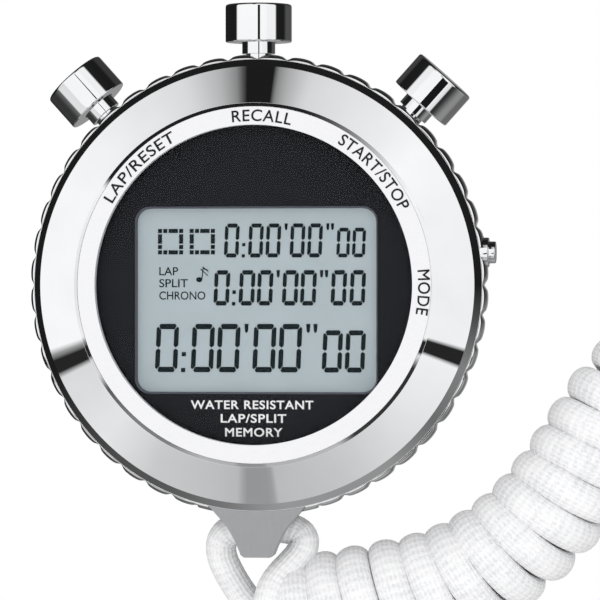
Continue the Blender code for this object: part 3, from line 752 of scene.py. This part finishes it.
def case_mesh():
    """The plated casting: scalloped rim, tapering side, recess for the cover and bores for the pushers."""
    inside = 26.0
    seat = COVER_THICKNESS + 0.05
    profile = [
        (31.3, RIM_BACK), (30.9, 7.0),
        (29.6, 2.4), (28.2, 0.5), (COVER_RADIUS + 0.08, 0.5), (COVER_RADIUS + 0.08, seat), (24.5, seat),
        (24.5, seat + 0.5), (23.6, seat + 0.5), (23.6, 2.8), (24.6, 3.4), (24.6, 9.85), (inside, 9.85),
        (inside, 15.25), (RIM_INNER - 0.06, 14.9), (RIM_INNER - 0.06, RIM_FRONT - 0.1),
    ]
    radii = [0.3, 2.0, 1.5, 0.25, 0.1, 0, 0, 0, 0, 0, 0, 0, 0, 0, 0.02, 0]
    round_front = []
    for step in range(13):
        turn = math.pi / 2 * step / 12
        reach = (RIM_RADIUS - RIM_INNER) * math.sin(turn)
        round_front.append((RIM_INNER + reach, RIM_FRONT - RIM_FILLET * (1 - math.cos(turn))))
    back_edge = [
        (RIM_RADIUS, RIM_BACK + 0.3), (RIM_RADIUS - 0.09, RIM_BACK + 0.09), (RIM_RADIUS - 0.3, RIM_BACK),
    ]
    body = lathe(round_front + back_edge + softened(profile, radii, 5), SCALLOPS * 12, radius_at=scalloped)
    mesh = mesh_from("case", body)
    cutters = []
    for angle in BUTTON_ANGLES.values():
        bore = lathe([(0, 34), (NECK_SHANK + 0.05, 34), (NECK_SHANK + 0.05, 25), (0, 25)], 40, closed=False)
        cutters.append(mesh_from("bore", bore, outward(angle)))
    bore = lathe([(0, 34), (2.15, 34), (2.15, 31.25), (1.8, 31.25), (1.8, 25), (0, 25)], 40, closed=False)
    cutters.append(mesh_from("bore", bore, outward(0.0, BUTTON_HEIGHT, MODE_Y)))
    for x, y in around(SCREW_RADIUS, 4, 45.0):
        hole = lathe([(0, 6.5), (0.55, 6.5), (0.55, 1.0), (0, 1.0)], 16, closed=False)
        cutters.append(mesh_from("hole", hole, Matrix.Translation((x, y, 0))))
    cut = boolean(mesh, cutters)
    cut.set_sharp_from_angle(angle=math.radians(32))
    return cut


SCREW_RADIUS = 25.7


def around(radius, count, first):
    """Evenly spaced places on a circle."""
    angles = [math.radians(first + 360 * index / count) for index in range(count)]
    return [(radius * math.cos(a), radius * math.sin(a)) for a in angles]


def case():
    mesh = case_mesh()
    piece = add_piece("case", mesh, [CHROME, LUG_SATIN], replaces=("case_body",))
    for face in mesh.polygons:
        x, y, z = face.center / MM
        on_lug = y < 0 and abs(x) < LUG_OUTLINE[0][0] - 0.9 and z > RIM_FRONT - 0.9 and face.normal.z > 0.3
        face.material_index = 1 if on_lug else 0


def lug_side(inset):
    """The right-hand edge of the lug from the rim to its rounded tip, moved in by an inset."""
    side = [tuple(p)[:2] for p in smooth_line([(x, y, 0) for x, y in LUG_OUTLINE[:-1]], 0.5)]
    side = [(x - inset, y) for x, y in side if math.hypot(x, y) > RIM_INNER + 0.1]
    end = LUG_OUTLINE[-2]
    tip = (LUG_OUTLINE[-1][0] - 0.25 - inset, LUG_OUTLINE[-1][1])
    return side + [(end[0] - 0.10 - inset, end[1] - 0.35), tip]


def bevelled(body, offset, beyond):
    """A prism with its flat faces' edges bevelled, beyond a line across Y."""
    edges = [e for e in body.edges if abs(e.verts[0].co.z - e.verts[1].co.z) < 1e-6
             and min(v.co.y for v in e.verts) < beyond]
    bmesh.ops.bevel(body, geom=edges, offset=offset, segments=3, affect="EDGES", clamp_overlap=True)
    return body


def lug():
    """The flared tongue that holds the cord: a wide satin plate on a narrower block with the cord's hole."""
    side = lug_side(0.0)
    arc = [(RIM_INNER + 0.05) * Vector((math.sin(a), -math.cos(a))) for a in
           (math.radians(degrees) for degrees in range(-12, 13, 2))]
    outline = [tuple(p) for p in arc] + side + [(-x, y) for x, y in reversed(side)]
    plate = bevelled(prism(outline, LUG_PLATE, LUG_Z[1]), 0.2, -32.3)
    side = [(7.0, -29.2)] + lug_side(LUG_WAIST)
    outline = side + [(-x, y) for x, y in reversed(side)]
    block = bevelled(prism(outline, LUG_Z[0], LUG_PLATE + 0.3), 0.2, -32.3)
    y, z = LUG_HOLE
    hole = lathe([(0, 12), (LUG_HOLE_RADIUS, 12), (LUG_HOLE_RADIUS, -12), (0, -12)], 48, closed=False)
    turn = Matrix.Translation((0, y, z)) @ Matrix.Rotation(math.pi / 2, 4, "Y")
    mesh = boolean(mesh_from("lug", plate), [mesh_from("lug_block", block)], "UNION")
    mesh = boolean(mesh, [mesh_from("lug_hole", hole, turn)])
    mesh.set_sharp_from_angle(angle=math.radians(32))
    piece = add_piece("lug", mesh, [CHROME, LUG_SATIN])
    for face in mesh.polygons:
        face.material_index = 1 if abs(face.normal.z) > 0.98 else 0
    even_normals(piece)


# ---------------------------------------------------------------- face

def bezel():
    """The polished cone round the dial, its dark outer step and the lip that holds the label ring."""
    profile = [
        (25.72, CONE_TOP), (CONE_OUTER, CONE_TOP - (CONE_OUTER - 25.72) * CONE_SLOPE),
        (RIM_INNER - 0.02, RIM_FRONT - 0.02), (RIM_INNER - 0.02, 15.0), (26.0, 15.3), (26.0, 16.2),
        (23.3, 16.2), (23.3, 16.8), (24.4, 16.8), (24.4, 17.75), (25.35, 17.75), (25.35, 17.82),
    ]
    radii = [0.04, 0.05, 0.01, 0.02, 0, 0, 0, 0, 0, 0, 0, 0.02]
    mesh = mesh_from("bezel", lathe(softened(profile, radii), 288), sharp=14.0)
    even_normals(add_piece("bezel", mesh, CHROME, replaces=("bezel_ring",)))


CONE_SLOPE = 0.435
CONE_TOP = 18.15
LABEL_TOP = FACE_TOP - 0.2
LABEL_EDGE = 18.40


def label_height(r):
    """The label ring's sloping top at a radius."""
    inner = DIAL_RADIUS + 0.12
    return LABEL_TOP + (LABEL_EDGE - LABEL_TOP) * (r - inner) / (LABEL_RADIUS - inner)


def label_ring():
    profile = [
        (DIAL_RADIUS + 0.12, LABEL_TOP), (LABEL_RADIUS - 0.06, LABEL_EDGE), (LABEL_RADIUS - 0.04, 17.8),
        (DIAL_RADIUS + 0.12, 17.8),
    ]
    mesh = mesh_from("labels_ring", lathe(softened(profile, [0.08, 0.06, 0.02, 0.02]), 288))
    even_normals(add_piece("labels_ring", mesh, LABEL, replaces=("label_ring",)))
    step = lathe([(LABEL_RADIUS - 0.03, LABEL_EDGE + 0.03), (25.71, CONE_TOP - 0.01), (25.71, 17.8),
                  (LABEL_RADIUS - 0.03, 17.8)], 288)
    even_normals(add_piece("label_step", mesh_from("label_step", step), CHROME))


def letters(text, thickness=0.012, spacing=1.0):
    """A text's mesh in its own units, thickened or thinned, with its letters further apart."""
    curve = bpy.data.curves.new("text", "FONT")
    curve.body = text
    curve.bevel_depth = thickness
    curve.bevel_resolution = 0
    curve.space_character = spacing
    curve.extrude = 0.02
    curve.resolution_u = 6
    obj = bpy.data.objects.new("text", curve)
    bpy.context.scene.collection.objects.link(obj)
    graph = bpy.context.evaluated_depsgraph_get()
    mesh = bpy.data.meshes.new_from_object(obj.evaluated_get(graph))
    bpy.data.objects.remove(obj)
    body = bmesh.new()
    body.from_mesh(mesh)
    bmesh.ops.remove_doubles(body, verts=body.verts, dist=1e-5)
    bmesh.ops.recalc_face_normals(body, faces=body.faces)
    return body


CAPITAL = max(v.co.y for v in letters("H", 0.0).verts)


def sized(text, width, height, thickness=0.012, spacing=1.0):
    """A text's bmesh centred on x, with its baseline on y 0, in millimetres, from z 0 to 1."""
    body = letters(text, thickness, spacing)
    xs = [v.co.x for v in body.verts]
    zs = [v.co.z for v in body.verts]
    left, right, low, high = min(xs), max(xs), min(zs), max(zs)
    for vert in body.verts:
        vert.co.x = (vert.co.x - (left + right) / 2) * width / (right - left)
        vert.co.y *= height / CAPITAL
        vert.co.z = (vert.co.z - low) / (high - low)
    return body


def labels():
    """Function names round the ring, their tops outwards."""
    whole = bmesh.new()
    for text, middle, span, base in LABELS:
        radius = base + LABEL_LETTERS / 2
        body = sized(text, math.radians(span) * radius, LABEL_LETTERS, 0.01, 1.08)
        for vert in body.verts:
            angle = math.radians(middle) - vert.co.x / radius
            r = base + vert.co.y
            z = label_height(r) - PRINT + 2 * PRINT * vert.co.z
            vert.co = (r * math.cos(angle), r * math.sin(angle), z)
        join(whole, body)
    add_piece("ring_lettering", mesh_from("ring_lettering", whole), INK)


def join(whole, body):
    """Adds one bmesh to another."""
    mesh = bpy.data.meshes.new("part")
    body.to_mesh(mesh)
    body.free()
    whole.from_mesh(mesh)
    bpy.data.meshes.remove(mesh)


def mask():
    """The black dial with its window, the moulded surround under it, and its printed words."""
    body = lathe(softened([(0, MASK_TOP), (MASK_RADIUS, MASK_TOP), (MASK_RADIUS, MASK_LOW), (0, MASK_LOW)],
                          [0, 0.03, 0.03, 0], closed=False), 192, closed=False)
    hole = prism(window_outline(WINDOW, WINDOW_CORNER), 16, 18)
    mesh = boolean(mesh_from("dial", body), [mesh_from("window_hole", hole)])
    mesh.set_sharp_from_angle(angle=math.radians(32))
    add_piece("dial", mesh, BLACK, replaces=("dial_mask",))
    words = bmesh.new()
    for text, middle, baseline, width in MASK_WORDS:
        line = sized(text, width, 1.15, 0.02, 1.1)
        for vert in line.verts:
            vert.co = (vert.co.x + middle, vert.co.y + baseline, MASK_TOP - PRINT + 2 * PRINT * vert.co.z)
        join(words, line)
    add_piece("dial_lettering", mesh_from("dial_lettering", words), WHITE_INK)


def window_surround():
    """The sloping wall between the dial's window and the display glass."""
    draft = 0.27
    body = bmesh.new()
    loops = []
    top, foot = MASK_LOW - 0.02, LCD_TOP + 0.03
    heights = ((0.0, top), (draft, foot), (-0.5, foot), (-0.5, top))
    for inset, height in heights:
        size = (WINDOW[0] - 2 * inset, WINDOW[1] - 2 * inset)
        outline = window_outline(size, WINDOW_CORNER - inset * 0.5)
        loops.append([body.verts.new((x, y, height)) for x, y in outline])
    for first, second in zip(loops, loops[1:] + loops[:1]):
        for index in range(len(first)):
            after = (index + 1) % len(first)
            body.faces.new((first[index], second[index], second[after], first[after]))
    add_piece("window_surround", mesh_from("window_surround", body), SURROUND)


def crystal():
    """The clear pane with its polished edge."""
    profile = [
        (0, FACE_TOP), (DIAL_RADIUS, FACE_TOP), (DIAL_RADIUS, 17.7), (24.25, 17.7), (24.25, 17.15),
        (0, 17.15),
    ]
    body = lathe(softened(profile, [0, 0.07, 0.02, 0.05, 0.05, 0], closed=False), 256, closed=False)
    mesh = mesh_from("pane", body)
    even_normals(add_piece("pane", mesh, GLASS, replaces=("crystal",)))


# ---------------------------------------------------------------- display


def zero(width, height, stroke):
    """The six lit bars of a seven-bar nought, as outlines round its lower left corner."""
    thick = 1.15 * stroke
    middle = height / 2
    inset = 0.75 * stroke
    foot = [
        (inset + 0.1 * stroke, 0), (width - inset - 0.1 * stroke, 0),
        (width - inset + 0.2 * stroke, 0.35 * thick), (width - inset - 0.1 * stroke, thick),
        (inset + 0.1 * stroke, thick), (inset - 0.2 * stroke, 0.35 * thick),
    ]
    side = [
        (0, 0.95 * stroke), (0.36 * stroke, 0.62 * stroke), (stroke, 1.4 * stroke),
        (stroke, middle - 0.5 * stroke), (0.55 * stroke, middle - 0.10 * stroke), (0, middle - 0.55 * stroke),
    ]
    bars = []
    for bar in (foot, side):
        bars.append(bar)
        bars.append([(x, height - y) for x, y in bar])
    bars.append([(width - x, y) for x, y in side])
    bars.append([(width - x, height - y) for x, y in side])
    return bars


def mark(body, outline, x, y, foot):
    """One dark bar of the display, slanted like its figures about their foot."""
    points = [(MARKS_X + px + x + SLANT * (py + y - foot), py + y) for px, py in outline]
    low = [body.verts.new((px, py, LCD_TOP - 0.01)) for px, py in points]
    high = [body.verts.new((px, py, LCD_TOP + INK_HEIGHT)) for px, py in points]
    body.faces.new(low)
    body.faces.new(high)
    for index in range(len(points)):
        after = (index + 1) % len(points)
        body.faces.new((low[index], low[after], high[after], high[index]))


def readout(body, left, base, stroke, large, small):
    """The time as 0:00'00" and two more figures. large and small each hold width, height and step."""
    width, height, step = large
    x = left
    dot = 0.9 * stroke
    for sign in "0:00'00\"ss":
        if sign == "0":
            for bar in zero(width, height, stroke):
                mark(body, bar, x, base, base)
            x += step
        elif sign == "s":
            for bar in zero(small[0], small[1], stroke * (0.5 + 0.5 * small[1] / height)):
                mark(body, bar, x, base, base)
            x += small[2]
        elif sign == ":":
            for level in (0.0, 0.33):
                square = [(0, 0), (dot, 0), (dot, dot), (0, dot)]
                mark(body, square, x + 0.03 * width, base + level * height, base)
            x += 0.46 * width
        else:
            for index in range(2 if sign == "\"" else 1):
                wedge = [
                    (0.2 * dot, -0.6 * dot), (0.6 * dot, -dot), (0.95 * dot, -0.5 * dot), (dot, 1.2 * dot),
                    (0, 1.2 * dot),
                ]
                mark(body, wedge, x + (0.02 + 0.32 * index) * width, base + height - 1.2 * dot, base)
            x += (0.46 if sign == "'" else 0.80) * width


def dotted_square(body, left, base, size):
    """A hollow square of dots, five a side."""
    pitch = size / 4.75
    dot = 0.76 * pitch
    for row in range(5):
        for column in range(5):
            if row in (0, 4) or column in (0, 4):
                wide = pitch if row in (0, 4) and column == 2 else dot
                tall = pitch if column in (0, 4) and row == 2 else dot
                square = [(0, 0), (wide, 0), (wide, tall), (0, tall)]
                mark(body, square, left + column * pitch - SLANT * row * pitch, base + row * pitch, base)


def display():
    """What the display shows: three readouts, two dotted squares, three indicator words and a note."""
    body = bmesh.new()
    readout(body, -4.85, 3.9, 0.50, (2.08, 4.8, 2.49), (1.86, 4.17, 2.22))
    readout(body, -6.35, -2.9, 0.55, (2.22, 5.0, 2.58), (2.17, 5.0, 2.68))
    readout(body, -14.75, -12.35, 0.66, (3.2, 6.85, 3.67), (2.8, 5.95, 3.26))
    for left in (-14.3, -9.75):
        dotted_square(body, left, 4.35, 3.6)
    add_piece("display_figures", mesh_from("display_figures", body), SEGMENT)
    words = bmesh.new()
    for text, baseline, width in (("LAP", 1.4, 2.7), ("SPLIT", -0.3, 4.1), ("CHRONO", -2.05, 6.6)):
        line = sized(text, width, 1.12, 0.006)
        for vert in line.verts:
            height = LCD_TOP - 0.01 + INK_HEIGHT * vert.co.z
            vert.co = (vert.co.x + MARKS_X - 14.1 + width / 2, vert.co.y + baseline, height)
        join(words, line)
    join(words, music_note(MARKS_X - 8.75, 0.4))
    add_piece("display_words", mesh_from("display_words", words), SEGMENT)


def music_note(left, base):
    """The small alarm sign: a slanted note with a stroke across it."""
    body = bmesh.new()
    angles = [math.tau * step / 16 for step in range(16)]
    head = [(0.38 + 0.44 * math.cos(a), 0.36 + 0.36 * math.sin(a)) for a in angles]
    stem = [(0.68, 0.35), (0.82, 0.35), (1.02, 2.2), (0.88, 2.2)]
    flag = [(0.9, 2.2), (1.25, 1.95), (1.62, 1.75), (1.72, 1.3), (1.5, 1.62), (1.0, 1.85)]
    stroke = [(0.52, 1.82), (0.6, 1.92), (1.66, 0.98), (1.58, 0.88)]
    for index, outline in enumerate((head, stem, flag, stroke)):
        low = LCD_TOP - 0.01
        high = LCD_TOP + INK_HEIGHT * (1 - 0.1 * index)
        join(body, prism([(left + x, base + y) for x, y in outline], low, high))
    return body


# ---------------------------------------------------------------- buttons

def push_buttons():
    """Three buttons: a hollow cap that slides, and the neck tube, seal and spring that stay."""
    for side, angle in BUTTON_ANGLES.items():
        matrix = outward(angle)
        button = f"{side}_button"
        ceiling = 38.45
        cap = softened([
            (0, CAP_END), (CAP_RADIUS, CAP_END - 0.12), (CAP_RADIUS, CAP_START), (2.5, CAP_START),
            (2.5, ceiling), (0, ceiling),
        ], [0, 0.42, 0.22, 0.08, 0.05, 0], 6, closed=False)
        mesh = mesh_from(f"cap_{side}", lathe(cap, 96, closed=False), matrix)
        even_normals(add_piece(f"cap_{side}", mesh, CHROME, button, (f"button_cap_{side}",)))
        neck = softened([
            (1.7, 36.85), (2.35, 36.85), (2.35, 36.2), (1.95, 36.2), (1.95, 35.6), (2.35, 35.6),
            (2.35, 32.85), (NECK_SHANK, 32.85), (NECK_SHANK, 26.95), (0.81, 26.95), (0.81, 31.6), (1.7, 31.6),
        ], [0.1, 0.15, 0.02, 0, 0, 0.02, 0.05, 0, 0.1, 0, 0, 0], 3)
        mesh = mesh_from(f"neck_{side}", lathe(neck, 64), matrix)
        tube = add_piece(f"neck_{side}", mesh, CHROME, replaces=(f"button_tube_{side}",))
        even_normals(tube)
        seal = lathe(softened([(2.0, 36.15), (2.38, 36.15), (2.38, 35.65), (2.0, 35.65)], 0.15), 64)
        add_piece(f"seal_{side}", mesh_from(f"seal_{side}", seal, matrix), RUBBER,
                  replaces=(f"tube_seal_{side}",))
        spring = spring_mesh(f"spring_{side}", 1.25, 0.16, 31.65, 38.4, 5, matrix)
        piece = add_piece(f"spring_{side}", spring, STEEL,
                          replaces=(f"button_spring_{side}",))
        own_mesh(piece)


def spring_mesh(name, mean_radius, wire, low, high, turns, matrix):
    """A helical wire spring as a mesh."""
    per_turn = 24
    curve = bpy.data.curves.new(name, "CURVE")
    curve.dimensions = "3D"
    curve.bevel_depth = wire * MM
    curve.bevel_resolution = 3
    curve.use_fill_caps = True
    spline = curve.splines.new("POLY")
    spline.points.add(turns * per_turn)
    for step in range(turns * per_turn + 1):
        angle = math.tau * step / per_turn
        rise = low + wire + (high - low - 2 * wire) * step / (turns * per_turn)
        point = matrix @ Vector((mean_radius * math.cos(angle), mean_radius * math.sin(angle), rise))
        spline.points[step].co = (*(point * MM), 1.0)
    obj = bpy.data.objects.new(name, curve)
    bpy.context.scene.collection.objects.link(obj)
    mesh = bpy.data.meshes.new_from_object(obj.evaluated_get(bpy.context.evaluated_depsgraph_get()))
    bpy.data.objects.remove(obj)
    body = bmesh.new()
    body.from_mesh(mesh)
    bmesh.ops.remove_doubles(body, verts=body.verts, dist=1e-7)
    bmesh.ops.scale(body, vec=(1 / MM,) * 3, verts=body.verts)
    return mesh_from(name, body)


def side_pusher():
    """The MODE pusher in its collar."""
    matrix = outward(0.0, BUTTON_HEIGHT, MODE_Y)
    bush = softened([
        (1.62, 32.85), (2.1, 32.85), (2.1, 31.3), (1.75, 31.3), (1.75, 26.95), (0.71, 26.95), (0.71, 30.0),
        (1.55, 30.0), (1.55, 31.3), (1.62, 31.3),
    ], [0.05, 0.14, 0.02, 0, 0.1, 0, 0, 0, 0, 0], 4)
    mesh = mesh_from("pusher_collar", lathe(bush, 64), matrix)
    even_normals(add_piece("pusher_collar", mesh, CHROME, replaces=("mode_bush",)))
    head = softened([
        (0, MODE_END), (1.55, MODE_END - 0.02), (1.55, 32.75), (1.2, 32.75), (1.2, 32.3), (1.55, 32.3),
        (1.55, 32.1), (0.65, 32.1), (0.65, 26.85), (0.45, 26.85), (0.45, 26.35), (0.65, 26.35),
        (0.65, 23.9), (0, 23.9),
    ], [0, 0.22, 0.02, 0, 0, 0.02, 0.02, 0.02, 0.02, 0, 0, 0.02, 0.1, 0], 4, closed=False)
    mesh = mesh_from("pusher_head", lathe(head, 64, closed=False), matrix)
    even_normals(add_piece("pusher_head", mesh, CHROME, "mode_pusher", ("mode_button",)))
    spring = spring_mesh("pusher_spring", 1.1, 0.12, 30.05, 32.05, 4, matrix)
    piece = add_piece("pusher_spring", spring, STEEL, replaces=("mode_spring",))
    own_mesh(piece)


# ---------------------------------------------------------------- back

def back_cover():
    """The screwed cover with lathe rings, and its four cross-head screws."""
    profile = [
        (0, COVER_THICKNESS), (COVER_RADIUS, COVER_THICKNESS), (COVER_RADIUS, 0.0), (23.4, 0.0),
        (23.2, 0.12), (22.9, 0.12), (22.7, 0.0), (0, 0.0),
    ]
    radii = [0, 0.05, 0.3, 0.03, 0.05, 0.05, 0.03, 0]
    body = lathe(softened(profile, radii, closed=False), 256, closed=False)
    sinks = []
    for x, y in around(SCREW_RADIUS, 4, 45.0):
        sink = lathe([(0, 2), (0.7, 2), (0.7, 0.55), (0.98, 0.5), (0.98, -1), (0, -1)], 40, closed=False)
        sinks.append(mesh_from("sink", sink, Matrix.Translation((x, y, 0))))
    mesh = boolean(mesh_from("cover", body), sinks)
    mesh.set_sharp_from_angle(angle=math.radians(32))
    even_normals(add_piece("cover", mesh, SATIN, replaces=("back_cover",)))
    for index, (x, y) in enumerate(around(SCREW_RADIUS, 4, 45.0)):
        turn = Matrix.Translation((x, y, 0)) @ Matrix.Rotation(math.radians(25 + 40 * index), 4, "Z")
        screw = lathe(softened([(0, 5.0), (0.48, 4.8), (0.48, 0.6), (0.9, 0.4), (0.9, 0.1), (0, 0.06)],
                               [0, 0.05, 0.02, 0.02, 0.08, 0], closed=False), 40, closed=False)
        slots = []
        for length, width in ((1.15, 0.24), (0.24, 1.15)):
            half = [(-length / 2, -width / 2), (length / 2, -width / 2), (length / 2, width / 2),
                    (-length / 2, width / 2)]
            slots.append(mesh_from("slot", prism(half, -0.5, 0.32 if length > width else 0.319), turn))
        mesh = boolean(mesh_from(f"cover_screw_{index + 1}", screw, turn), slots)
        mesh.set_sharp_from_angle(angle=math.radians(32))
        add_piece(f"cover_screw_{index + 1}", mesh, STEEL,
                  replaces=(f"back_screw_{index + 1}",))


# ---------------------------------------------------------------- parts that keep their CAD shape

KEPT = (
    (RUBBER, ("crystal_gasket", "back_gasket", "zebra_strip_upper", "zebra_strip_lower", "mode_seal")),
    (DISPLAY, ("lcd_front_glass", "lcd_rear_glass")),
    (LABEL, ("lcd_reflector",)),
    (MOULDING, ("module_frame",)),
    (BOARD, ("circuit_board",)),
    (BLACK, ("chip_blob",)),
    (BRASS, ("contact_blade_left", "contact_blade_centre", "contact_blade_right", "contact_blade_mode",
             "battery_contact", "battery_clip", "buzzer_disc")),
    (STEEL, ("battery", "quartz_can", "module_screw_1", "module_screw_2", "module_screw_3", "buzzer_spring_1",
             "buzzer_spring_2", "button_pin_left", "button_pin_centre", "button_pin_right",
             "button_clip_left",
             "button_clip_centre", "button_clip_right", "mode_clip")),
)


def kept_nodes():
    """Gives the inner parts their finish, and smooth shading where they are round."""
    for surface, names in KEPT:
        for name in names:
            obj = frame["nodes"][name]
            obj.data.materials.clear()
            obj.data.materials.append(surface)
            weld = obj.modifiers.new("weld", "WELD")
            weld.merge_threshold = 1e-6
            obj.data.shade_smooth()
            smooth = obj.modifiers.new("split", "EDGE_SPLIT")
            smooth.split_angle = math.radians(40)


def hide_from_mirrors():
    """Keeps the pushers, necks and cord out of the plating's reflections."""
    for obj in bpy.context.scene.objects:
        if obj.name.startswith(UNMIRRORED):
            obj.visible_glossy = False


camera()
studio()
neck_cord()
case()
lug()
bezel()
label_ring()
labels()
mask()
window_surround()
crystal()
display()
push_buttons()
side_pusher()
back_cover()
kept_nodes()
hide_from_mirrors()
